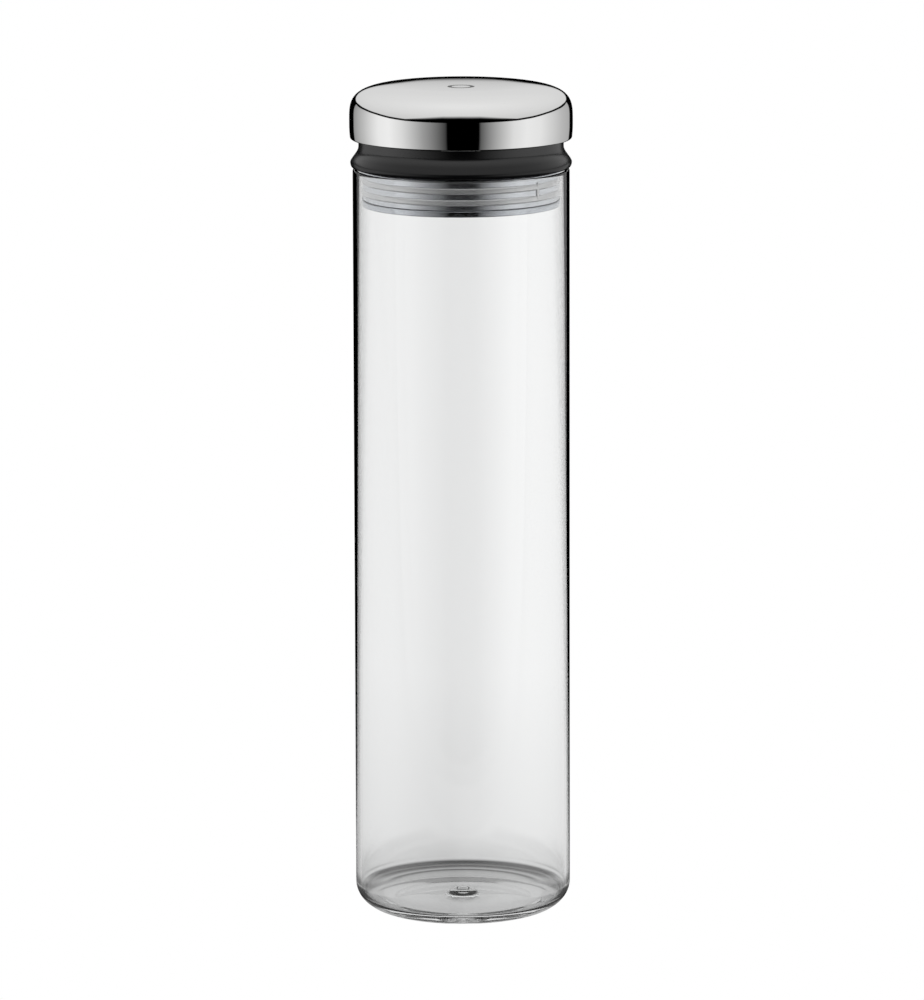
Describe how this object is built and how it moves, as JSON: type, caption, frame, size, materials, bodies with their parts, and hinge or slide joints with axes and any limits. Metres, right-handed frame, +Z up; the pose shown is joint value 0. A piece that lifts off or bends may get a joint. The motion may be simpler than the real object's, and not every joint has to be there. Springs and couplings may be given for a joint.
{
  "type": "lidded glass canister",
  "caption": "Tall straight glass storage canister with a steel-capped push-in lid, a dark plastic collar and a ribbed silicone seal.",
  "frame": {"origin": "on the jar's axis, in the plane the jar stands on", "axes": "+Z up along the axis of the jar and lid; the camera side is -Y"},
  "size_m": [0.098, 0.098, 0.3693],
  "materials": {
    "glass": "clear, polished",
    "steel": "mirror-polished stainless steel",
    "dark_plastic": "fine satin",
    "clear_plastic": "clear, polished",
    "silicone": "milky translucent, soft satin"
  },
  "bodies": {
    "jar": {"glass_jar": "glass"},
    "seal": {"seal_ring": "silicone"},
    "lid": {"lid_cap": "steel", "lid_collar": "dark_plastic", "plug_cup": "clear_plastic"}
  },
  "joints": [
    {"name": "lid_lift", "type": "slide", "parent": "jar", "child": "seal", "axis": [0, 0, 1], "range_m": [0, 0.03]},
    {"name": "lid_turn", "type": "hinge", "parent": "seal", "child": "lid", "pos_m": [0, 0, 0.3317], "axis": [0, 0, 1], "continuous": true}
  ]
}
